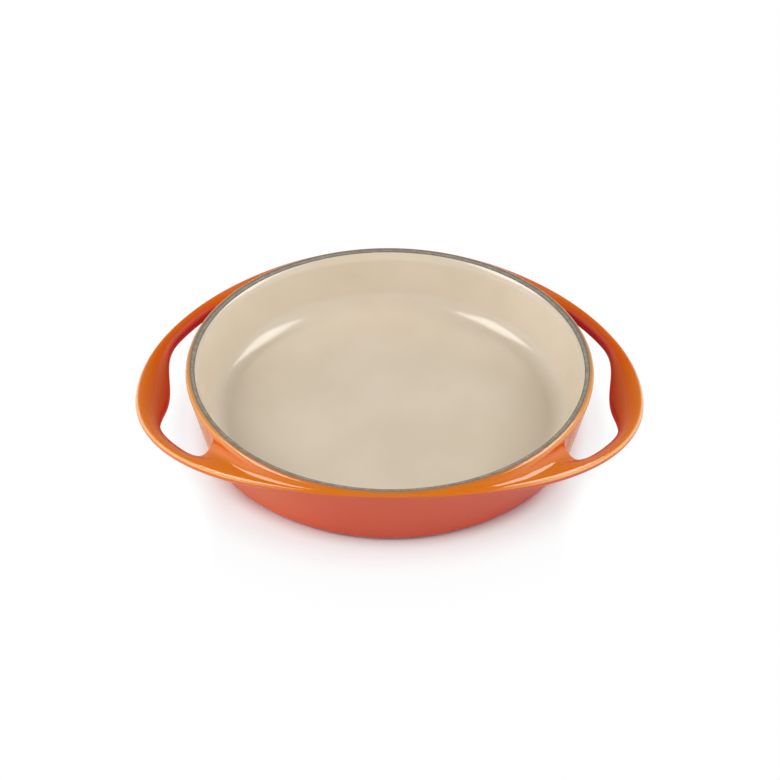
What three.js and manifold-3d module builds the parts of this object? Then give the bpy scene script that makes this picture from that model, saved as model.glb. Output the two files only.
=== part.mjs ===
// Enamelled cast-iron tarte tatin pan: a shallow round bowl whose wall runs out into an oval flange.
// A long finger hole pierces each end of the flange and leaves a drooping loop handle with a wide grip.
// The iron is one casting. A cream lining, an orange outer coat, a bare ground-coat band on the rim
// and a coat under the floor are fired onto it.
// Millimetres, +Z up, origin on the table under the centre of the bowl, handles along X.
import * as THREE from 'three';
import { mergeVertices } from 'three/addons/utils/BufferGeometryUtils.js';
import Module from 'manifold-3d';

const wasm = await Module();
wasm.setup();

// Bowl, measured over the enamel
const panDiameter = 250; // clear width inside the rim
const panHeight = 45; // table to the top of the rim
const rimWidth = 2.8; // bare top of the rim, across
const rimFall = 0.7; // how far the bare top falls towards the inside
const rimEdgeRadius = 3; // rounded outer edge of the rim
const wallDraft = THREE.MathUtils.degToRad(13); // lean of the wall from upright
const floorHeight = 5; // table to the cooking floor
const floorCornerRadius = 13; // between the floor and the wall, inside
const baseCornerRadius = 5; // between the wall and the foot, outside

// Oval flange and the handles in it, measured over the enamel
const overallLength = 329; // tip of one handle to the tip of the other
const flangeDrop = 1.2; // top of the rim to the top of the flange, at the front and the back
const tipDroop = 22; // how much lower the flange lies at the handle tips
const lipTuck = 0.4; // how far the oval lies inside the wall at the front and the back
const armThickness = 5.2; // flange and handle arms
const gripThickness = 6.8; // middle of each grip
const edgeBeadThickness = 3; // flange edge where it dies into the wall at the front and the back
const beadGrowth = 14; // reach of the flange beyond the wall at which it has its full thickness
const armWidth = 9.6; // handle arms, across
const gripWidth = 21.6; // middle of each grip, across
const gripHalfLength = 50; // middle of the grip to where it has narrowed to the arm
const armRoll = 3.7; // how far the arms roll down from their lip to the hole
const gripRoll = 10.7; // the same in the middle of the grip
const rollFade = 72; // middle of the grip to where the arms' roll starts to fade
const rollEnd = 90; // middle of the grip to where it has faded out
const holeEnd = THREE.MathUtils.degToRad(42); // end of the finger hole, as the oval's own angle
const holeCornerReach = 7; // start of the round corner, back along the arm from the hole's end
const holeEdgeRadius = 1.8; // rounded edges of the finger hole
const blendRadius = 7; // between the wall and the flange, above
const underBlendRadius = 4; // between the wall and the flange, below

// Foot and underside
const footRingInset = 1.1; // start of the base corner to the ground foot ring
const footRingWidth = 5.5;
const underRecess = 0.9; // enamelled underside above the foot ring's face
const coatFootClearance = 0.8; // the outer coat stops this far above the table

// Enamel
const enamel = 0.5; // thickness of every coat
const fuseGap = 0.15; // clearance between the modelled coats and the iron
const ironInset = enamel + fuseGap; // finished surface to iron

// Fineness of the facets
const turns = 56; // facets round the bowl
const flangeTurns = 2 * turns; // facets round the flange, which bends more
const strapSteps = 4; // facets across the flange
const arcSteps = 3; // facets on a round corner
const edgeSteps = 4; // facets round the flange's outer edge
const holeSteps = 24; // facets along the grip side of a finger hole
const facetTolerance = fuseGap / 10; // slivers thinner than this are merged away

const { sin, cos, tan, PI, hypot, min, max, abs } = Math;

// Worked-out sizes
const rimInnerRadius = panDiameter / 2;
const rimFlatRadius = rimInnerRadius + rimWidth;
const bowlRadius = rimFlatRadius + rimEdgeRadius;
const outerWallRun = (panHeight - rimEdgeRadius - baseCornerRadius
  - (rimEdgeRadius - baseCornerRadius) * sin(wallDraft)) / cos(wallDraft);
const baseFlatRadius = rimFlatRadius - outerWallRun * sin(wallDraft)
  + (rimEdgeRadius - baseCornerRadius) * cos(wallDraft);
const footRingRadius = baseFlatRadius - footRingInset;
const footInnerRadius = footRingRadius - footRingWidth;
const lipLength = overallLength / 2;
const lipWidth = bowlRadius - lipTuck;
const ample = panHeight; // how far a cutter reaches past what it cuts

const point = (x, y) => new THREE.Vector2(x, y);
const smooth = THREE.MathUtils.smoothstep;

// A three.js geometry as a solid that can be joined and cut
function solidOf(geometry) {
  const bare = geometry.clone();
  bare.deleteAttribute('normal');
  bare.deleteAttribute('uv');
  const merged = mergeVertices(bare, 1e-4);
  const triangles = [];
  const index = merged.index.array;
  for (let i = 0; i < index.length; i += 3) {
    const [a, b, c] = index.slice(i, i + 3);
    if (a !== b && b !== c && c !== a) triangles.push(a, b, c);
  }
  return new wasm.Manifold(new wasm.Mesh({
    numProp: 3,
    vertProperties: merged.attributes.position.array,
    triVerts: new Uint32Array(triangles),
  }));
}

// A solid as a three.js geometry
function geometryOf(solid) {
  const mesh = solid.getMesh();
  const geometry = new THREE.BufferGeometry();
  geometry.setAttribute('position', new THREE.BufferAttribute(mesh.vertProperties, 3));
  geometry.setIndex(new THREE.BufferAttribute(mesh.triVerts, 1));
  geometry.computeVertexNormals();
  return geometry;
}

// A profile of radius and height, drawn from the bottom axis outwards and up, turned about Z
function turned(profile) {
  return solidOf(new THREE.LatheGeometry(profile, turns).rotateX(PI / 2));
}

// A plain disc or cylinder about Z
function drum(radius, bottom, top) {
  return turned([point(0, bottom), point(radius, bottom), point(radius, top), point(0, top)]);
}

// Rings of the same number of points, joined in order into a skin.
// Looped rings close on themselves like a tyre; a stack is closed by flat caps.
function loft(rings, looped) {
  const size = rings[0].length;
  const triangles = [];
  const joins = looped ? rings.length : rings.length - 1;
  for (let i = 0; i < joins; i++) {
    const here = i * size;
    const next = ((i + 1) % rings.length) * size;
    for (let j = 0; j < size; j++) {
      const k = (j + 1) % size;
      triangles.push(here + j, here + k, next + k, here + j, next + k, next + j);
    }
  }
  if (!looped) {
    const cap = THREE.ShapeUtils.triangulateShape(rings[0].map((p) => point(p.x, p.y)), []);
    const last = (rings.length - 1) * size;
    for (const [a, b, c] of cap) triangles.push(c, b, a, last + a, last + b, last + c);
  }
  const geometry = new THREE.BufferGeometry().setFromPoints(rings.flat());
  geometry.setIndex(triangles);
  return solidOf(geometry);
}

// Outside of the bowl, filled, with its surface moved outwards by grow
function bowlOutside(grow) {
  const profile = new THREE.Path();
  profile.moveTo(0, -grow);
  profile.lineTo(baseFlatRadius, -grow);
  profile.absarc(baseFlatRadius, baseCornerRadius, baseCornerRadius + grow, -PI / 2, -wallDraft, false);
  profile.absarc(rimFlatRadius, panHeight - rimEdgeRadius, rimEdgeRadius + grow, -wallDraft, PI / 2, false);
  profile.lineTo(rimInnerRadius, panHeight - rimFall + grow);
  profile.lineTo(0, panHeight - rimFall + grow);
  return turned(profile.getPoints(arcSteps - 1));
}

// Inside of the bowl as a plug, with its surface moved outwards by grow
function bowlInside(grow) {
  const wallRun = (panHeight - floorHeight - floorCornerRadius * (1 - sin(wallDraft))) / cos(wallDraft);
  const cornerRadius = rimInnerRadius - wallRun * sin(wallDraft) - floorCornerRadius * cos(wallDraft);
  const profile = new THREE.Path();
  const cornerHeight = floorHeight + floorCornerRadius;
  profile.moveTo(0, floorHeight - grow);
  profile.lineTo(cornerRadius, floorHeight - grow);
  profile.absarc(cornerRadius, cornerHeight, floorCornerRadius + grow, -PI / 2, -wallDraft, false);
  const topRadius = rimInnerRadius + grow / cos(wallDraft);
  profile.lineTo(topRadius, panHeight);
  profile.lineTo(topRadius, panHeight + ample);
  profile.lineTo(0, panHeight + ample);
  return turned(profile.getPoints(arcSteps));
}

// Radius of the wall's outside at a height
function wallRadius(z) {
  return bowlRadius - rimEdgeRadius * (1 - 1 / cos(wallDraft))
    - (panHeight - rimEdgeRadius - z) * tan(wallDraft);
}

// Share of the full grip at a distance y from the middle of the handle
function gripShare(y) {
  return cos(PI / 2 * min(1, abs(y) / gripHalfLength)) ** 2;
}

// Width of the handle from its lip to the finger hole
function strapWidth(y) {
  return armWidth + (gripWidth - armWidth) * gripShare(y);
}

// Distance from the axis at which a handle's strap ends at an angle about Z, found in a few rounds
function strapEndRadius(angle, lip) {
  let radius = lip;
  for (let i = 0; i < 4; i++) radius = lip - strapWidth(radius * sin(angle));
  return radius;
}

// Distance of a plan point inwards from the oval lip
function insetFromLip(x, y) {
  const level = hypot(x / lipLength, y / lipWidth);
  const slope = hypot(x / lipLength ** 2, y / lipWidth ** 2) / level;
  return (1 - level) / slope;
}

// Height of the flange's top over a plan point
function flangeTop(x, y) {
  const crest = panHeight - flangeDrop - tipDroop * (x / lipLength) ** 2;
  const inset = insetFromLip(x, y);
  const across = THREE.MathUtils.clamp(inset / strapWidth(y), 0, 1);
  const strap = 1 - smooth(inset, strapWidth(y), strapWidth(y) + armWidth);
  const depth = armRoll * (1 - smooth(abs(y), rollFade, rollEnd)) + (gripRoll - armRoll) * gripShare(y);
  return crest - depth * across ** 2 * strap;
}

// Thickness of the flange at a distance y from the long axis, where it reaches that far past the wall
function flangeThickness(y, reach) {
  const full = armThickness + (gripThickness - armThickness) * gripShare(y);
  return edgeBeadThickness + (full - edgeBeadThickness) * smooth(reach, 0, beadGrowth);
}

// Concave quarter round from the wall onto the flange, as points of radius and height above the flange
function blend(radius, size, up) {
  const points = [];
  for (let i = 0; i <= arcSteps; i++) {
    const angle = PI / 2 * i / arcSteps;
    points.push(point(radius + size * (1 - cos(angle)), up * size * (1 - sin(angle))));
  }
  return points;
}

// The flange's cross-section in the upright plane at an angle about Z, moved outwards by grow
function flangeSection(angle, grow) {
  const lip = 1 / hypot(cos(angle) / (lipLength + grow), sin(angle) / (lipWidth + grow));
  const reach = lip - grow - bowlRadius;
  const lipY = lip * sin(angle);
  const thickness = flangeThickness(lipY, reach) + 2 * grow;
  const topAt = (r) => flangeTop(r * cos(angle), r * sin(angle)) + grow;
  const half = thickness / 2;
  const crown = lip - half;
  const level = topAt(bowlRadius);
  const wallAbove = min(wallRadius(level) + grow, crown);
  const wallBelow = min(wallRadius(level - thickness) + grow, crown);
  const headroom = max(0, panHeight - rimEdgeRadius - level);
  const upper = min(blendRadius - grow, headroom, (crown - wallAbove) * 0.6);
  const lower = min(underBlendRadius - grow, (crown - wallBelow) * 0.6);
  const deep = rimInnerRadius - floorCornerRadius;
  const above = blend(wallAbove, upper, 1).map((p) => point(p.x, topAt(p.x) + p.y));
  const below = blend(wallBelow, lower, -1).map((p) => point(p.x, topAt(p.x) - thickness + p.y));
  const inner = max(wallAbove + upper, wallBelow + lower);
  const nearest = inner + (crown - inner) / strapSteps;
  const holeEdge = max(nearest, strapEndRadius(angle, lip - grow));
  const between = [];
  for (let i = 1; i < strapSteps; i++) {
    between.push(holeEdge + (crown - holeEdge) * (i - 1) / (strapSteps - 1));
  }
  const section = [point(deep, above[0].y), ...above];
  for (const r of between) section.push(point(r, topAt(r)));
  const edgeLevel = topAt(crown) - half;
  for (let i = 0; i <= edgeSteps; i++) {
    const turn = PI / 2 - PI * i / edgeSteps;
    section.push(point(crown + half * cos(turn), edgeLevel + half * sin(turn)));
  }
  for (const r of between.reverse()) section.push(point(r, topAt(r) - thickness));
  section.push(...below.reverse(), point(deep, below[below.length - 1].y));
  return section.map((p) => new THREE.Vector3(p.x * cos(angle), p.x * sin(angle), p.y));
}

// Plan outline of the finger hole at +X, running from the front end to the back end.
// Moved inwards by grow, because the coat narrows the hole.
function holeOutline(grow) {
  const inset = (angle) => {
    const x = lipLength * cos(angle);
    const y = lipWidth * sin(angle);
    const normal = point(x / lipLength ** 2, y / lipWidth ** 2).normalize();
    const width = strapWidth(y) + grow;
    return point(x - width * normal.x, y - width * normal.y);
  };
  const reach = holeCornerReach / lipWidth;
  const end = holeEnd - grow / lipWidth;
  const gripSide = [];
  for (let i = 0; i <= holeSteps; i++) gripSide.push(inset((end - reach) * (2 * i / holeSteps - 1)));
  const corner = inset(end);
  const normal = point(cos(end) / lipLength, sin(end) / lipWidth).normalize();
  const inside = corner.clone().addScaledVector(normal, -gripWidth);
  const round = new THREE.QuadraticBezierCurve(gripSide[holeSteps], corner,
    corner.clone().addScaledVector(normal, -holeCornerReach)).getPoints(arcSteps).slice(1);
  const backEnd = [...round, inside];
  const frontEnd = backEnd.map((p) => point(p.x, -p.y)).reverse();
  return [...frontEnd, ...gripSide, ...backEnd];
}

// Cutter for one finger hole: its walls follow the droop and flare at both faces to round the edges
function holeCutter(side, grow) {
  const outline = holeOutline(grow);
  const edge = holeEdgeRadius + grow;
  const clear = holeEdgeRadius;
  const levels = [{ out: clear, share: 0, past: -ample }, { out: clear, share: 0, past: -clear }];
  for (const face of [0, 1]) {
    for (let i = 0; i <= arcSteps; i++) {
      const turn = PI / 2 * (face ? i : arcSteps - i) / arcSteps;
      const depth = edge * (1 - sin(turn));
      levels.push({ out: edge * (1 - cos(turn)), share: face, past: face ? -depth : depth });
    }
  }
  levels.push({ out: clear, share: 1, past: clear }, { out: clear, share: 1, past: ample });
  const rings = levels.map(({ out, share, past }) => outline.map((p, i) => {
    const before = outline[(i + outline.length - 1) % outline.length];
    const after = outline[(i + 1) % outline.length];
    const normal = point(after.y - before.y, before.x - after.x).normalize();
    const x = p.x + normal.x * out;
    const y = p.y + normal.y * out;
    const top = flangeTop(x, y) + grow;
    const bottom = top - flangeThickness(p.y, beadGrowth) - 2 * grow;
    return new THREE.Vector3(side * x, side * y, bottom + (top - bottom) * share + past);
  }));
  return loft(rings, false);
}

// Bowl, flange and both handles as one filled body, with its surface moved outwards by grow
function outside(grow) {
  const sections = [];
  for (let i = 0; i < flangeTurns; i++) sections.push(flangeSection(2 * PI * i / flangeTurns, grow));
  let flange = loft(sections, true);
  for (const side of [1, -1]) flange = flange.subtract(holeCutter(side, grow));
  return bowlOutside(grow).add(flange);
}

// Iron casting: the outside less its enamel, hollowed, with a foot ring round a shallow recess
const recessTop = underRecess + ironInset;
const footRing = drum(footRingRadius, 0, recessTop).subtract(drum(footInnerRadius, -ample, recessTop + ample));
const ironBody = outside(-ironInset)
  .subtract(bowlInside(ironInset))
  .subtract(drum(footInnerRadius, -ample, recessTop))
  .add(footRing)
  .simplify(facetTolerance);

// Cream lining: a skin on the inside of the bowl, ending under the rim band
const bandBottom = panHeight - rimFall - enamel;
const lining = bowlInside(enamel)
  .subtract(bowlInside(0))
  .subtract(drum(bowlRadius, bandBottom - fuseGap, panHeight + 2 * ample));

// Ground-coat band on top of the rim, falling towards the inside
const band = turned([
  point(0, bandBottom), point(rimInnerRadius, bandBottom), point(rimFlatRadius, panHeight - enamel),
  point(rimFlatRadius, panHeight), point(rimInnerRadius, panHeight - rimFall), point(0, panHeight - rimFall),
]).subtract(drum(rimInnerRadius, -ample, panHeight + ample));

// Orange coat: a skin on the outside, open at the rim band and above the foot ring
const coat = outside(0)
  .subtract(outside(-enamel))
  .subtract(drum(rimFlatRadius + fuseGap, bandBottom - fuseGap, panHeight + ample))
  .subtract(drum(bowlRadius, -ample, coatFootClearance))
  .simplify(facetTolerance);

// Base coat: a disc under the floor, inside the foot ring
const underside = drum(footInnerRadius - fuseGap, underRecess, underRecess + enamel);

// Finishes
const finish = (color, roughness, metalness) => new THREE.MeshStandardMaterial({ color, roughness, metalness });
const bareIron = finish(0x4a4744, 0.6, 0.9);
const creamEnamel = finish(0xe2d6be, 0.2, 0);
const orangeEnamel = finish(0xd9681e, 0.15, 0);
const groundCoat = finish(0x8a857a, 0.7, 0);
const redEnamel = finish(0xa8321c, 0.2, 0);

const pan = new THREE.Group();
pan.name = 'tarte_tatin_pan';
function place(name, solid, material) {
  const mesh = new THREE.Mesh(geometryOf(solid), material);
  mesh.name = name;
  pan.add(mesh);
}
place('iron_casting', ironBody, bareIron);
place('cream_lining', lining, creamEnamel);
place('rim_band', band, groundCoat);
place('orange_coat', coat, orangeEnamel);
place('base_coat', underside, redEnamel);

export default pan;
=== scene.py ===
import math

import bmesh
import bpy
import numpy as np
from mathutils import Matrix, Vector


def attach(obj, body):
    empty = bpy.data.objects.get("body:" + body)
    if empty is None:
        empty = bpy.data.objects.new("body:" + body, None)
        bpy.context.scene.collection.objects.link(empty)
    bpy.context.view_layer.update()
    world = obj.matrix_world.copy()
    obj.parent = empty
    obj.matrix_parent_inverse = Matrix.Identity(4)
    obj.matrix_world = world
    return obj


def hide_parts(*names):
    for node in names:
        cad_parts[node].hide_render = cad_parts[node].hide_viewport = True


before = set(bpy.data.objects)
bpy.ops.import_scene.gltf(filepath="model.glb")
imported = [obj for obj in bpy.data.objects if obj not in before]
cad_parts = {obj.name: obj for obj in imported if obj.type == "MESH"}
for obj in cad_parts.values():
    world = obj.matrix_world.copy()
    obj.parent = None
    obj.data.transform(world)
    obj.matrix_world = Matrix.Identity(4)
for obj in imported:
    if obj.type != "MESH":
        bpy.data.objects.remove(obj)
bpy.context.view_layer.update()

# Sizes of the pan in millimetres, over the enamel
MM = 0.001
HEIGHT = 45.0
RIM_INNER = 125.0
RIM_FLAT = 127.8
RIM_FALL = 0.5
RIM_EDGE = 3.0
BOWL = RIM_FLAT + RIM_EDGE
DRAFT = math.radians(13)
FLOOR = 5.0
FLOOR_CORNER = 16.0
BASE_FLAT = 117.2
UNDERSIDE = 0.9
FOOT_INNER = 110.5
ENAMEL = 0.45

# Foot of the outer coat: the height where it starts to turn in, the strength of the turn, and its lower edge
FOOT_TURN = 4.2
FOOT_CURL = 0.18
COAT_FOOT = 0.4

# Edges where the spun coats meet their neighbours
BAND_LAP = 0.12
BAND_SKIRT = 0.5
BAND_CROWN = 0.05
LINING_GAP = 0.3
UNDER_GAP = 0.12
UNDER_ROUND = 0.3

# Oval flange with its loop handles
LIP_LENGTH = 164.5
LIP_WIDTH = 130.7
FLANGE_DROP = 0.9
TIP_DROOP = 22.0
BEAD = 3.4
ARM_THICKNESS = 5.7
GRIP_THICKNESS = 7.3
ARM_WIDTH = 9.6
GRIP_WIDTH = 21.6
GRIP_HALF = 50.0
ARM_ROLL = 3.7
GRIP_ROLL = 10.7
ROLL_FADE = 72.0
ROLL_END = 90.0

# How far the lip stands out of the wall where the bead ends, where the flange is clear and where it is full
BEAD_REACH = 2.0
CLEAR_REACH = 11.0
FULL_REACH = 14.0

# Finger holes, and the fillets between the wall and the flange
HOLE_END = math.radians(42)
HOLE_CORNER = 6.0
HOLE_EDGE = 1.7
HOLE_EDGE_FADE = 5.0
HOLE_BLEND = 2.0
UPPER_FILLET = 7.5
LOWER_FILLET = 6.5
LEAST_FILLET = 0.8
FILLET_SHARE = 0.7

# Control net of the outer coat: upright columns round the pan, and rows from the rim down to the foot
COLUMNS = 96
HOLE_COLUMNS = 9
WALL_ABOVE, HOLE_ABOVE, LIP, HOLE_BELOW, WALL_BELOW = 4, 8, 12, 16, 20
HOLE_CUTS = 3

# Where its rows start from: turns round the rim's edge in degrees, heights, and shares of what they divide
RIM_TURNS = (40, 80)
RIM_CLEAR = 1.0
FOOT_ROWS = (2.6, 1.6, COAT_FOOT)
BEAD_DEPTH = 10.0
FILLET_ROOM = 0.8
FILLET_BEND = 0.3
NOSE_BEND = 0.29
WEB_SHARE = 0.55

# Rounds of the two searches, steps of the spun coats, and small lengths
SETTLE_ROUNDS = 14
HOLE_ROUNDS = 20
SPUN_STEPS = 144
MERGE = 1e-4
TINY = 1e-6

# Lamps: where they point and how wide they are, in metres, and the power of those that only the gloss shows
LAMP_AIM = (0, 0, 0.03)
LIGHT_SIZE = (0.8, 0.6)
GLOSS_SIZE = (0.74, 0.60)
GLOSS_POWER = 10


def lerp(a, b, share):
    """The value that lies a share of the way from a to b."""
    return a + (b - a) * share


def smooth(value, start, end):
    """Eased share of the way from start to end."""
    share = np.clip((value - start) / (end - start), 0, 1)
    return share * share * (3 - 2 * share)


def rounded_cut(a, b, radius):
    """What two forms have in common, with their meeting edge rounded."""
    deep = np.minimum(-radius, np.maximum(a, b))
    return deep + np.hypot(np.maximum(radius + a, 0), np.maximum(radius + b, 0))


def rounded_join(a, b, radius):
    """Two forms together, with a fillet where they meet."""
    clear = np.maximum(radius, np.minimum(a, b))
    return clear - np.hypot(np.maximum(radius - a, 0), np.maximum(radius - b, 0))


def wall_radius(z):
    """Radius of the outside of the wall at a height."""
    return BOWL + RIM_EDGE * (1 / math.cos(DRAFT) - 1) - (HEIGHT - RIM_EDGE - z) * math.tan(DRAFT)


def lip_radius(angle):
    """Distance of the oval lip from the middle of the pan, in one direction."""
    return 1 / np.hypot(np.cos(angle) / LIP_LENGTH, np.sin(angle) / LIP_WIDTH)


def grip_share(y):
    """1 in the middle of a grip, 0 where it has narrowed to the arm."""
    return np.cos(np.pi / 2 * np.minimum(1, np.abs(y) / GRIP_HALF)) ** 2


def strap_width(y):
    """Width of the handle from its lip to the finger hole."""
    return ARM_WIDTH + (GRIP_WIDTH - ARM_WIDTH) * grip_share(y)


def inset_from_lip(x, y):
    """Distance inwards from the oval lip."""
    level = np.hypot(x / LIP_LENGTH, y / LIP_WIDTH)
    return (1 - level) * level / np.hypot(x / LIP_LENGTH**2, y / LIP_WIDTH**2)


def flange_crest(x):
    """Height of the top of the flange, before the handles roll down towards their holes."""
    return HEIGHT - FLANGE_DROP - TIP_DROOP * (x / LIP_LENGTH) ** 2


def flange_top(x, y):
    """Height of the top of the flange."""
    inset, width = inset_from_lip(x, y), strap_width(y)
    across = np.clip(inset / width, 0, 1)
    strap = 1 - smooth((inset - width) / ARM_WIDTH, 0, 1)
    arm = ARM_ROLL * (1 - smooth(np.abs(y), ROLL_FADE, ROLL_END))
    depth = arm + (GRIP_ROLL - ARM_ROLL) * grip_share(y)
    return flange_crest(x) - depth * across**2 * strap


def flange_thickness(y, reach):
    """Thickness of the flange where its lip stands that far out of the wall."""
    full = ARM_THICKNESS + (GRIP_THICKNESS - ARM_THICKNESS) * grip_share(y)
    return BEAD + (full - BEAD) * smooth(reach, 0, FULL_REACH)


def finger_hole(x, y):
    """Plan distance from the edge of a finger hole, negative inside it."""
    lip_x = LIP_LENGTH * math.cos(HOLE_END)
    lip_y = LIP_WIDTH * math.sin(HOLE_END)
    along = Vector((LIP_LENGTH * math.sin(HOLE_END), -LIP_WIDTH * math.cos(HOLE_END))).normalized()
    end = (lip_x - np.abs(x)) * along.x + (lip_y - np.abs(y)) * along.y
    return rounded_cut(strap_width(y) - inset_from_lip(x, y), end, HOLE_CORNER)


def outside_form(points):
    """Distance of points from the enamelled outside of the pan, positive in the open."""
    x, y, z = points.T
    r = np.hypot(x, y)
    wall = (r - wall_radius(z)) * math.cos(DRAFT)
    rim_edge = (wall_radius(HEIGHT) - RIM_FLAT) * math.cos(DRAFT)
    base_edge = (wall_radius(0) - BASE_FLAT) * math.cos(DRAFT)
    bowl = rounded_cut(rounded_cut(wall, z - HEIGHT, rim_edge), -z, base_edge)
    reach = lip_radius(np.arctan2(y, x)) - LIP_WIDTH
    thickness = flange_thickness(y, reach)
    middle = flange_top(x, y) - thickness / 2
    step = 0.1
    fall_x = flange_top(x + step, y) - flange_top(x - step, y)
    fall_y = flange_top(x, y + step) - flange_top(x, y - step)
    lean = np.hypot(1, np.hypot(fall_x, fall_y) / (2 * step))
    slab = (np.abs(z - middle) - thickness / 2) / lean
    plate = rounded_cut(-inset_from_lip(x, y), slab, thickness / 2)
    above = smooth(z - middle, -thickness / 2, thickness / 2)
    fillet = np.clip(FILLET_SHARE * reach, TINY, lerp(LOWER_FILLET, UPPER_FILLET, above))
    solid = rounded_join(bowl, plate, fillet)
    opening = rounded_cut(finger_hole(x, y), -bowl, HOLE_BLEND)
    return rounded_cut(solid, -opening, HOLE_EDGE * smooth(bowl, 0, HOLE_EDGE_FADE) + TINY)


def settle(points):
    """Moves points straight onto the outside of the pan."""
    step = 0.01
    least_steepness = 0.05
    longest_move = 1.5
    for _ in range(SETTLE_ROUNDS):
        distance = outside_form(points)
        slope = np.empty_like(points)
        for axis in range(3):
            nudge = np.zeros(3)
            nudge[axis] = step
            slope[:, axis] = (outside_form(points + nudge) - outside_form(points - nudge)) / (2 * step)
        steepness = np.maximum((slope * slope).sum(axis=1), least_steepness)
        move = np.clip(distance / steepness, -longest_move, longest_move)
        points = points - move[:, None] * slope
    return points


def hole_side(angle):
    """Radius of the finger hole's outer edge in one direction from the middle of the pan."""
    r = lip_radius(angle) - ARM_WIDTH
    for _ in range(HOLE_ROUNDS):
        y = r * math.sin(angle)
        r += inset_from_lip(r * math.cos(angle), y) - strap_width(y) + HOLE_EDGE / 2
    return r


def flange_rows(angle, lip, thick):
    """Places down one column where the flange stands clear of the wall, as radius and height."""
    across, along = math.sin(angle), math.cos(angle)

    def top(r):
        return float(flange_top(r * along, r * across))

    ledge = HEIGHT - RIM_EDGE
    level = float(flange_crest(BOWL * along))
    bottom = level - thick
    ring, under = wall_radius(level), wall_radius(bottom)
    upper = min(UPPER_FILLET, max(LEAST_FILLET, FILLET_ROOM * (ledge - level)))
    crown = lip - thick / 2
    folded = math.atan2(abs(across), abs(along))
    if folded <= 2 * math.pi * HOLE_COLUMNS / COLUMNS + TINY:
        inner = hole_side(angle)
    else:
        inner = lerp(ring + upper, crown, WEB_SHARE)
    lower = min(LOWER_FILLET, FILLET_ROOM * (inner - under))
    between = (ring + upper + inner) / 2
    beneath = (under + lower + inner) / 2
    shoulder = (inner + crown) / 2

    # Rim, then the wall and the fillet above the flange
    places = [(RIM_FLAT, HEIGHT)]
    for turn in RIM_TURNS:
        tilt = math.radians(turn)
        places.append((RIM_FLAT + RIM_EDGE * math.sin(tilt), ledge + RIM_EDGE * math.cos(tilt)))
    fillet_top = min(level + upper, ledge - RIM_CLEAR)
    places += [(wall_radius(z), z) for z in ((ledge + fillet_top) / 2, fillet_top)]
    bend = FILLET_BEND * upper
    places += [(ring + bend, level + bend), (ring + upper, top(ring + upper))]

    # Top of the flange, round its lip and back along its underside
    places += [(r, top(r)) for r in (between, inner, shoulder, crown)]
    nose = NOSE_BEND * thick / 2
    places += [(lip - nose, top(lip) - nose), (lip, top(lip) - thick / 2)]
    places.append((lip - nose, top(lip) - thick + nose))
    places += [(r, top(r) - thick) for r in (crown, shoulder, inner, beneath)]

    # Fillet below the flange
    bend = FILLET_BEND * lower
    places += [(under + lower, bottom), (under + bend, bottom - bend)]
    places.append((wall_radius(bottom - lower), bottom - lower))
    return places


def bead_rows(angle, lip, thick):
    """The same rows where the flange is only a bead on the wall."""
    edge = float(flange_crest(lip * math.cos(angle))) - thick / 2
    places = []
    for row in range(LIP + 1):
        turn = math.pi / 2 * row / LIP
        places.append((lerp(RIM_FLAT, lip, math.sin(turn)), lerp(edge, HEIGHT, math.cos(turn))))
    for row in range(LIP + 1, WALL_BELOW + 1):
        z = edge - BEAD_DEPTH * (row - LIP) / (WALL_BELOW - LIP)
        places.append((wall_radius(z), z))
    return places


def foot_rows(start):
    """Places from a height on the wall down to the coat's lower edge."""
    heights = [lerp(start, FOOT_TURN, share) for share in (1 / 3, 2 / 3, 1)]
    places = [(wall_radius(z), z) for z in heights]
    places += [(wall_radius(z) - FOOT_CURL * (FOOT_TURN - z) ** 2, z) for z in FOOT_ROWS]
    return places


def coat_section(angle):
    """Rough places of one column of the control net, as radius and height."""
    lip = float(lip_radius(angle))
    reach = lip - LIP_WIDTH
    thick = float(flange_thickness(lip * math.sin(angle), reach))
    share = float(smooth(reach, BEAD_REACH, CLEAR_REACH))
    places = []
    for bead, clear in zip(bead_rows(angle, lip, thick), flange_rows(angle, lip, thick)):
        places.append((lerp(bead[0], clear[0], share), lerp(bead[1], clear[1], share)))
    return places + foot_rows(places[-1][1])


def column_of(vert):
    """Column of the control net that a vertex belongs to."""
    return round(math.atan2(vert.co.y, vert.co.x) / (2 * math.pi) * COLUMNS) % COLUMNS


def profile_edges(bm, places):
    """A line of edges in the XZ plane, from places of radius and height."""
    verts = [bm.verts.new((r, 0, z)) for r, z in places]
    edges = [bm.edges.new(pair) for pair in zip(verts, verts[1:])]
    return verts + edges


def spin_full(bm, geometry, steps):
    """Turns a profile once round the middle of the pan."""
    bmesh.ops.spin(bm, geom=geometry, cent=(0, 0, 0), axis=(0, 0, 1), dvec=(0, 0, 0),
                   angle=2 * math.pi, steps=steps, use_merge=True)


def finish_piece(bm, name, node, material, body="root"):
    """Turns a bmesh in millimetres into a piece that stands for a CAD node."""
    bmesh.ops.scale(bm, vec=(MM, MM, MM), verts=bm.verts)
    mesh = bpy.data.meshes.new(name)
    bm.to_mesh(mesh)
    bm.free()
    mesh.shade_smooth()
    mesh.materials.append(material)
    piece = bpy.data.objects.new(name, mesh)
    bpy.context.scene.collection.objects.link(piece)
    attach(piece, body)
    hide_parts(node)
    return piece


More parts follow.
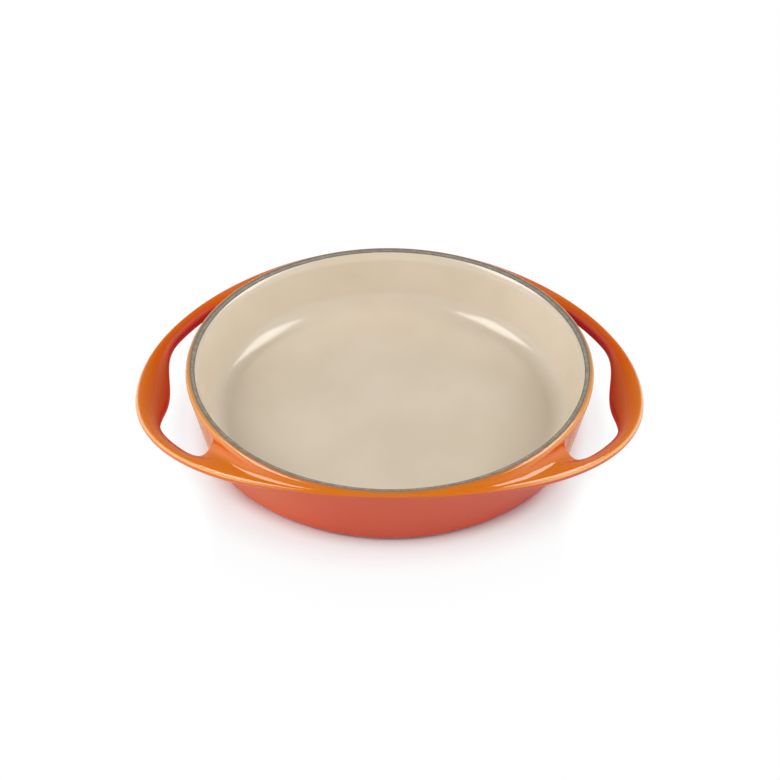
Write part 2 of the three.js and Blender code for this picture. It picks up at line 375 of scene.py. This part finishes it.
def coat_net():
    """Control net of the outer coat, still without its finger holes, and its layer of row numbers."""
    bm = bmesh.new()
    row_of = bm.verts.layers.int.new("row")
    pattern = coat_section(math.pi / 4)
    spin_full(bm, profile_edges(bm, pattern), COLUMNS)
    sections = [coat_section(2 * math.pi * column / COLUMNS) for column in range(COLUMNS)]
    for vert in bm.verts:
        spot = Vector((math.hypot(vert.co.x, vert.co.y), vert.co.z))
        row = min(range(len(pattern)), key=lambda i: (Vector(pattern[i]) - spot).length)
        column = column_of(vert)
        angle = 2 * math.pi * column / COLUMNS
        r, z = sections[column][row]
        vert[row_of] = row
        vert.co = (r * math.cos(angle), r * math.sin(angle), z)
    return bm, row_of


def pierce(bm, row_of, middle):
    """Opens a finger hole whose middle is in one column, and lines it from top to bottom."""

    def in_window(face, low, high):
        rows = [v[row_of] for v in face.verts]
        turns = [(column_of(v) - middle + COLUMNS // 2) % COLUMNS - COLUMNS // 2 for v in face.verts]
        return low <= min(rows) and max(rows) <= high and max(map(abs, turns)) <= HOLE_COLUMNS

    rims = []
    for low, high in ((WALL_ABOVE, HOLE_ABOVE), (HOLE_BELOW, WALL_BELOW)):
        faces = [f for f in bm.faces if in_window(f, low, high)]
        edges = {e for f in faces for e in f.edges}
        rims += [e for e in edges if sum(f in faces for f in e.link_faces) == 1]
        bmesh.ops.delete(bm, geom=faces, context="FACES")
    bridged = bmesh.ops.bridge_loops(bm, edges=rims)
    ribs = {e for f in bridged["faces"] for e in f.edges} - set(rims)
    bmesh.ops.subdivide_edges(bm, edges=list(ribs), cuts=HOLE_CUTS, use_grid_fill=True)


def outer_coat(material):
    """Skin of the bowl's outside, the flange and both handles, pierced by the finger holes."""
    bm, row_of = coat_net()
    for middle in (0, COLUMNS // 2):
        pierce(bm, row_of, middle)
    for finer in (False, True):
        if finer:
            bmesh.ops.subdivide_edges(bm, edges=bm.edges[:], cuts=1, use_grid_fill=True)
        places = settle(np.array([v.co[:] for v in bm.verts]))
        for vert, place in zip(bm.verts, places):
            vert.co = place
    bmesh.ops.recalc_face_normals(bm, faces=bm.faces[:])
    outermost = max(bm.faces, key=lambda f: f.calc_center_median().x)
    if outermost.normal.x < 0:
        bmesh.ops.reverse_faces(bm, faces=bm.faces[:])
    piece = finish_piece(bm, "outer_coat", "orange_coat", material)
    skin = piece.modifiers.new("Enamel thickness", "SOLIDIFY")
    skin.thickness = ENAMEL * MM
    skin.offset = -1
    flow = piece.modifiers.new("Enamel flow", "SUBSURF")
    flow.levels = flow.render_levels = 1


def arc(centre, radius, start, end, steps):
    """Points of radius and height round a centre, angles in degrees."""
    turns = [math.radians(lerp(start, end, i / steps)) for i in range(steps + 1)]
    return [(centre[0] + radius * math.cos(t), centre[1] + radius * math.sin(t)) for t in turns]


def spun_piece(places, name, node, material):
    """A closed profile turned about the middle of the pan."""
    bm = bmesh.new()
    spin_full(bm, profile_edges(bm, places), SPUN_STEPS)
    bmesh.ops.remove_doubles(bm, verts=bm.verts[:], dist=MERGE)
    bmesh.ops.recalc_face_normals(bm, faces=bm.faces[:])
    finish_piece(bm, name, node, material)


def inside_profile(depth):
    """Inside of the bowl from the middle of the floor up to the rim, moved into the iron by depth."""
    floor_rings, bend_steps, wall_shares = (0, 35, 70, 95), 14, (0.25, 0.5, 0.75, 1)
    run = (HEIGHT - FLOOR - FLOOR_CORNER * (1 - math.sin(DRAFT))) / math.cos(DRAFT)
    corner = RIM_INNER - run * math.sin(DRAFT) - FLOOR_CORNER * math.cos(DRAFT)
    floor = [(r, FLOOR - depth) for r in floor_rings]
    centre = (corner, FLOOR + FLOOR_CORNER)
    bend = arc(centre, FLOOR_CORNER + depth, -90, -math.degrees(DRAFT), bend_steps)
    top = HEIGHT - RIM_FALL - LINING_GAP
    edge = RIM_INNER + depth / math.cos(DRAFT) - (HEIGHT - top) * math.tan(DRAFT)
    wall = [(lerp(bend[-1][0], edge, share), lerp(bend[-1][1], top, share)) for share in wall_shares]
    return floor + bend + wall


def lining(material):
    """Cream coat over the floor and the inside of the wall."""
    places = inside_profile(0) + inside_profile(ENAMEL)[::-1]
    spun_piece(places, "lining", "cream_lining", material)


def rim_band(material):
    """Bare ground coat on top of the rim, falling towards the inside, with softened edges."""
    inner_drop, outer_lap, outer_skirt = 0.03, 0.1, 0.15
    low = HEIGHT - RIM_FALL
    lap = RIM_INNER - BAND_LAP
    places = [(lap, low - BAND_SKIRT), (lap, low - BAND_SKIRT / 2)]
    places.append((RIM_INNER + BAND_CROWN, low - inner_drop))
    for share in (0.12, 0.5, 0.9):
        places.append((lerp(RIM_INNER, RIM_FLAT, share), lerp(low, HEIGHT, share) + BAND_CROWN))
    places += [(RIM_FLAT + outer_lap, HEIGHT), (RIM_FLAT + outer_skirt, HEIGHT - BAND_SKIRT), places[0]]
    spun_piece(places, "rim_ground_coat", "rim_band", material)


def under_coat(material):
    """Enamel under the floor, with a softened rim inside the foot ring."""
    inner_ring, outer_ring, round_steps = 40, 80, 4
    low, high = UNDERSIDE, UNDERSIDE + ENAMEL
    edge = FOOT_INNER - UNDER_GAP
    places = [(r, low) for r in (0, inner_ring, outer_ring, edge - 4 * UNDER_ROUND)]
    places += arc((edge - UNDER_ROUND, low + UNDER_ROUND), UNDER_ROUND, -90, 0, round_steps)
    places += [(edge, high), (outer_ring, high), (0, high)]
    spun_piece(places, "under_coat", "base_coat", material)


class Value:
    """A shader socket. Sums written with it add Math nodes to its tree."""

    def __init__(self, nodes, socket):
        self.nodes = nodes
        self.socket = socket

    def math(self, operation, *terms):
        return self.nodes.node("ShaderNodeMath", {"operation": operation}, dict(enumerate(terms)))

    def __add__(self, other):
        return self.math("ADD", self, other)

    def __sub__(self, other):
        return self.math("SUBTRACT", self, other)

    def __rsub__(self, other):
        return self.math("SUBTRACT", other, self)

    def __mul__(self, other):
        return self.math("MULTIPLY", self, other)

    def __truediv__(self, other):
        return self.math("DIVIDE", self, other)

    def __pow__(self, other):
        return self.math("POWER", self, other)

    __radd__ = __add__
    __rmul__ = __mul__


class Nodes:
    """A node tree and the means to add nodes to it."""

    def __init__(self, tree):
        self.tree = tree

    def fill(self, node, sockets):
        """Links or sets the sockets of a node."""
        for key, value in sockets.items():
            if isinstance(value, Value):
                self.tree.links.new(value.socket, node.inputs[key])
            else:
                node.inputs[key].default_value = value

    def node(self, kind, settings=None, sockets=None, out=0):
        """Adds a node: its settings first, then its sockets. Gives one of its outputs."""
        node = self.tree.nodes.new(kind)
        for key, value in (settings or {}).items():
            if key == "stops":
                stops = node.color_ramp.elements
                while len(stops) < len(value):
                    stops.new(1)
                for stop, (place, colour) in zip(stops, value):
                    stop.position = place
                    stop.color = colour
            else:
                setattr(node, key, value)
        self.fill(node, sockets or {})
        return Value(self, node.outputs[out])

    def place(self, out="Object"):
        return self.node("ShaderNodeTexCoord", out=out)

    def parts(self, vector):
        return [self.node("ShaderNodeSeparateXYZ", {}, {0: vector}, out=axis) for axis in "XYZ"]

    def sizes(self):
        """Object coordinates in millimetres, and the distance from the middle of the pan."""
        x, y, z = [part / MM for part in self.parts(self.place())]
        return x, y, z, (x * x + y * y) ** 0.5

    def noise(self, scale, detail=2.0, rough=0.5):
        return self.node("ShaderNodeTexNoise", {}, {
            "Vector": self.place(), "Scale": scale, "Detail": detail, "Roughness": rough})

    def ramp(self, factor, stops):
        return self.node("ShaderNodeValToRGB", {"stops": stops}, {"Fac": factor})

    def span(self, value, low, high, to_low=0.0, to_high=1.0, easing="SMOOTHSTEP"):
        """A value from low to high as one from to_low to to_high."""
        return self.node("ShaderNodeMapRange", {"interpolation_type": easing}, {
            "Value": value, "From Min": low, "From Max": high, "To Min": to_low, "To Max": to_high})

    def mix(self, factor, a, b):
        """Colour a going over to colour b."""
        return self.node("ShaderNodeMix", {"data_type": "RGBA"}, {0: factor, 6: a, 7: b}, out=2)

    def bump(self, height, strength, distance):
        return self.node("ShaderNodeBump", {}, {
            "Height": height, "Strength": strength, "Distance": distance})


class Finish(Nodes):
    """A material and the nodes that feed its shader."""

    def __init__(self, name):
        self.material = bpy.data.materials.new(name)
        self.material.use_nodes = True
        super().__init__(self.material.node_tree)
        self.shader = self.tree.nodes["Principled BSDF"]

    def surface(self, **sockets):
        self.fill(self.shader, {key.replace("_", " "): value for key, value in sockets.items()})
        return self.material


def tone(red, green, blue):
    """A colour given as a screen shows it, in 0 to 255, as the shader takes it."""
    shares = [value / 255 for value in (red, green, blue)]
    return *(s / 12.92 if s <= 0.04045 else ((s + 0.055) / 1.055) ** 2.4 for s in shares), 1.0


def orange_enamel():
    """Gloss enamel sprayed orange where it faces up and out, shading to deep red below and in the holes."""
    finish = Finish("Orange to red enamel")
    x, y, z, radius = finish.sizes()
    nx, ny, nz = finish.parts(finish.place("Normal"))
    outward = (x * nx + y * ny) / radius
    aside = x * x  # The square of the distance to the left or right, in square millimetres
    lift = finish.span(z, 0, HEIGHT, -0.10, 0.0)
    drift_and_left_light = (finish.noise(28, 2) - 0.5) * 0.10 + finish.span(y, 0, 60, 0.0, -0.12)
    # Lighter on the left where the wall faces sideways and down: painted light from the front-left
    drift_and_left_light = drift_and_left_light + finish.span(x, -120, 0, 0.22, 0.0) * finish.span(nz, 0.2, -0.1)
    spray = (finish.noise(900, 3, 0.6) - 0.5) * 0.09
    warmth = nz * 0.40 + outward * 0.18 + 0.44 + lift + drift_and_left_light + spray
    colour = finish.ramp(warmth, [
        (0.0, tone(164, 18, 20)),
        (0.22, tone(216, 47, 28)),
        (0.50, tone(227, 82, 28)),
        (0.70, tone(226, 104, 15)),
        (0.86, tone(226, 121, 12)),
    ])

    # Painted shade: the wall is a deeper red than the handles, less so at the left, where the light from the
    # front-left falls
    wall = finish.span(nz, 0.3, 0.0) * finish.span(outward, 0.5, 0.9) * finish.span(x, -90, -20)
    colour = finish.mix(wall * 0.4, colour, tone(176, 62, 34))

    # Along the lip the coat is thin and pale, and a painted highlight lies along it
    level = ((x / LIP_LENGTH) ** 2 + (y / LIP_WIDTH) ** 2) ** 0.5
    nose = finish.span(level, 0.984, 0.990) * finish.span(nz, 0.25, 0.5) * finish.span(nz, 0.92, 0.75)
    nose = nose * finish.span(aside, 2000, 12000) * finish.span(y, 0, 60, 0.75, 0.2)
    colour = finish.mix(nose, colour, tone(252, 196, 128))
    # Paler on the upper wall at the sides: thin coat on the rim's edge, and a painted highlight where that
    # wall catches the lamps
    sides = finish.span(z, HEIGHT - 4.0, HEIGHT - 1.5) * finish.span(aside, 5000, 12000)
    colour = finish.mix(sides * 0.55, colour, tone(240, 178, 96))
    # Greyer on the shoulder of the rim, where the ground coat shows through the thin coat; the weaker grey
    # at the front is painted shade
    shoulder = finish.span(z, HEIGHT - 0.9, HEIGHT - 0.3) * finish.span(y, -30, 50, 0.3, 0.9)
    colour = finish.mix(shoulder, colour, tone(140, 124, 98))

    # The spray lies drier where the handles roll in towards their holes, and the arms are redder there
    inward = finish.span(outward, -0.1, -0.6)
    red_arms = inward * finish.span(y * y, 600, 3000, 0.0, 0.5)
    colour = finish.mix(red_arms, colour, tone(176, 6, 16))
    rough = finish.span(finish.noise(60, 3), 0.3, 0.7, 0.07, 0.11) + inward * 0.6
    ripple = finish.bump(finish.noise(120, 2), 0.04, 0.0004)
    return finish.surface(Base_Color=colour, Roughness=rough, Normal=ripple)


def cream_enamel():
    """Warm cream gloss enamel with faint clouds."""
    finish = Finish("Cream enamel")
    clouds = finish.span(finish.noise(16, 4), 0.35, 0.65)
    colour = finish.mix(clouds, tone(231, 217, 196), tone(226, 211, 188))
    rough = finish.span(finish.noise(45, 3), 0.3, 0.7, 0.15, 0.20)
    ripple = finish.bump(finish.noise(60, 2), 0.02, 0.0004)
    return finish.surface(Base_Color=colour, Roughness=rough, Normal=ripple)


def ground_coat():
    """Matt grey ground coat with a salt-and-pepper speckle, darker along both edges."""
    finish = Finish("Speckled ground coat")
    _, _, _, radius = finish.sizes()
    grain = finish.noise(1300, 3, 0.7)
    patches = finish.noise(220, 2)
    colour = finish.ramp(grain * 0.7 + patches * 0.3, [
        (0.30, tone(92, 85, 74)),
        (0.46, tone(134, 126, 112)),
        (0.60, tone(164, 156, 142)),
        (0.74, tone(194, 187, 172)),
    ])
    outer = finish.span(radius, RIM_FLAT - 0.9, RIM_FLAT - 0.3)
    inner = finish.span(radius, RIM_INNER + 0.7, RIM_INNER + 0.2)
    colour = finish.mix((outer + inner) * 0.6, colour, tone(96, 86, 74))
    return finish.surface(Base_Color=colour, Roughness=0.7, Normal=finish.bump(grain, 0.25, 0.0002))


def red_enamel():
    """Deep red enamel under the floor, clouded by the firing."""
    finish = Finish("Red enamel")
    clouds = finish.noise(14, 3) * 0.7 + finish.noise(800, 2) * 0.3
    colour = finish.ramp(clouds, [
        (0.25, tone(158, 32, 20)),
        (0.5, tone(170, 42, 22)),
        (0.75, tone(182, 54, 26)),
    ])
    rough = finish.span(finish.noise(50, 3), 0.3, 0.7, 0.16, 0.26)
    ripple = finish.bump(finish.noise(120, 2), 0.08, 0.0004)
    return finish.surface(Base_Color=colour, Roughness=rough, Normal=ripple)


def ground_iron():
    """Bare iron with the fine rings that grinding the foot leaves."""
    finish = Finish("Ground iron")
    _, _, _, radius = finish.sizes()
    rings = finish.node("ShaderNodeTexNoise", {"noise_dimensions": "1D"}, {"W": radius, "Scale": 2.6})
    grain = finish.noise(900, 3)
    colour = finish.ramp(rings * 0.6 + grain * 0.4, [
        (0.3, tone(70, 68, 66)),
        (0.55, tone(104, 101, 98)),
        (0.75, tone(134, 131, 128)),
    ])
    rough = finish.span(grain, 0.3, 0.7, 0.42, 0.6)
    scratches = finish.bump(rings, 0.2, 0.0002)
    return finish.surface(Base_Color=colour, Metallic=0.9, Roughness=rough, Normal=scratches)


def dress_iron(material):
    """Gives the casting's own mesh its finish. It shows only at the foot ring."""
    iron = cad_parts["iron_casting"]
    iron.data.materials.clear()
    iron.data.materials.append(material)


def white_paper():
    """Paper that looks white to the eye and in reflections, and keeps the pan's shadow close to the pan."""
    paper = Finish("White paper")
    paper.surface(Base_Color=(0.94, 0.94, 0.94, 1), Roughness=0.9)
    x, _, _, radius = paper.sizes()
    aside = x * x
    lit = paper.span(radius, 118, 132, 0.0, 0.5) + paper.span(radius, 128, 160, 0.0, 0.4)
    lit = lit + paper.span(aside, 10000, 16000, 0.0, 0.3) + paper.span(radius, 150, 200, 0.0, 0.1)
    mirrored = paper.node("ShaderNodeLightPath", out="Is Glossy Ray")
    seen = paper.node("ShaderNodeLightPath", out="Is Camera Ray") + mirrored
    seen = seen + paper.node("ShaderNodeLightPath", out="Is Transmission Ray")
    least_glow = 0.1
    share = seen * (lit - least_glow) + least_glow
    # The floor under the handles is mirrored in the wall behind the finger holes, and is shaded there
    shaded = mirrored * paper.span(aside, 10000, 12500) * paper.span(radius, 150, 135)
    colour = paper.mix(shaded, (1, 1, 1, 1), (0.72, 0.57, 0.46, 1))
    glow = paper.node("ShaderNodeEmission", {}, {"Color": colour, "Strength": 1.0})
    diffuse = Value(paper, paper.shader.outputs[0])
    sheet = paper.node("ShaderNodeMixShader", {}, {0: share + shaded * (1 - share), 1: diffuse, 2: glow})
    paper.fill(paper.tree.nodes["Material Output"], {"Surface": sheet})
    return paper.material


def studio_floor(material):
    """Wide floor a hair below the foot ring."""
    half_width = 4
    hair = 0.0002
    bm = bmesh.new()
    bmesh.ops.create_grid(bm, x_segments=1, y_segments=1, size=half_width)
    bmesh.ops.translate(bm, vec=(0, 0, -hair), verts=bm.verts)
    mesh = bpy.data.meshes.new("studio_floor")
    bm.to_mesh(mesh)
    bm.free()
    mesh.materials.append(material)
    floor = bpy.data.objects.new("studio_floor", mesh)
    bpy.context.scene.collection.objects.link(floor)


def soft_box(name, place, size, power, seen_in_gloss):
    """Lamp aimed at the pan, which either lights it or is mirrored in it."""
    lamp = bpy.data.lights.new(name, "AREA")
    lamp.shape = "RECTANGLE"
    lamp.size, lamp.size_y = size
    lamp.energy = power
    light = bpy.data.objects.new(name, lamp)
    light.location = place
    aim = Vector(LAMP_AIM) - Vector(place)
    light.rotation_euler = aim.to_track_quat("-Z", "Y").to_euler()
    light.visible_glossy = seen_in_gloss
    light.visible_diffuse = not seen_in_gloss
    bpy.context.scene.collection.objects.link(light)


def sky():
    """Light from all round, which fades overhead, at the back and at the front."""
    world = bpy.data.worlds.new("Studio")
    bpy.context.scene.world = world
    world.use_nodes = True
    nodes = Nodes(world.node_tree)
    _, y, z = nodes.parts(nodes.place("Generated"))
    strength = nodes.span(z, 0.25, 0.75, 1.45, 0.15, "LINEAR")
    strength = strength * nodes.span(y, 0.2, 0.7, 1.0, 0.45, "LINEAR")
    strength = strength * nodes.span(y, -0.9, -0.3, 0.6, 1.0, "LINEAR")
    nodes.fill(nodes.tree.nodes["Background"], {"Color": (1, 1, 1, 1), "Strength": strength})


def studio():
    """White floor, a lamp on each side, a soft box on each side for the gloss, and a sky."""
    studio_floor(white_paper())
    soft_box("left_light", (-0.85, -0.25, 0.9), LIGHT_SIZE, 7.0, False)
    soft_box("right_light", (0.9, 0.0, 0.9), LIGHT_SIZE, 6.1, False)
    soft_box("left_gloss", (-0.82, 0.0, 1.02), GLOSS_SIZE, GLOSS_POWER, True)
    soft_box("right_gloss", (0.84, 0.30, 0.98), GLOSS_SIZE, GLOSS_POWER, True)
    sky()


def camera():
    """Camera at the photograph's own viewing angle, with its slight tilt."""
    photo_pixels, focal_pixels = 780, 2200
    sensor = 36
    pitch, tilt, turn = math.radians(37.988), math.radians(0.405), math.radians(0.22)
    eye_place, side_shift = (0.0006, -1.1225, 0.8985), -0.0007
    lens = bpy.data.cameras.new("camera")
    lens.sensor_width = sensor
    lens.lens = sensor * focal_pixels / photo_pixels
    lens.shift_x = side_shift
    eye = bpy.data.objects.new("camera", lens)
    ahead = Vector((0, math.cos(pitch), -math.sin(pitch)))
    up = Vector((0, math.sin(pitch), math.cos(pitch)))
    side = Vector((1, 0, 0))
    right = math.cos(tilt) * side + math.sin(tilt) * up
    above = math.cos(tilt) * up - math.sin(tilt) * side
    facing = Matrix((right, above, -ahead)).transposed().to_4x4()
    place = Matrix.Translation(eye_place) @ facing
    eye.matrix_world = Matrix.Rotation(turn, 4, "Z") @ place
    bpy.context.scene.collection.objects.link(eye)
    bpy.context.scene.camera = eye


outer_coat(orange_enamel())
lining(cream_enamel())
rim_band(ground_coat())
under_coat(red_enamel())
dress_iron(ground_iron())
studio()
camera()
bpy.context.scene.view_settings.view_transform = "Standard"
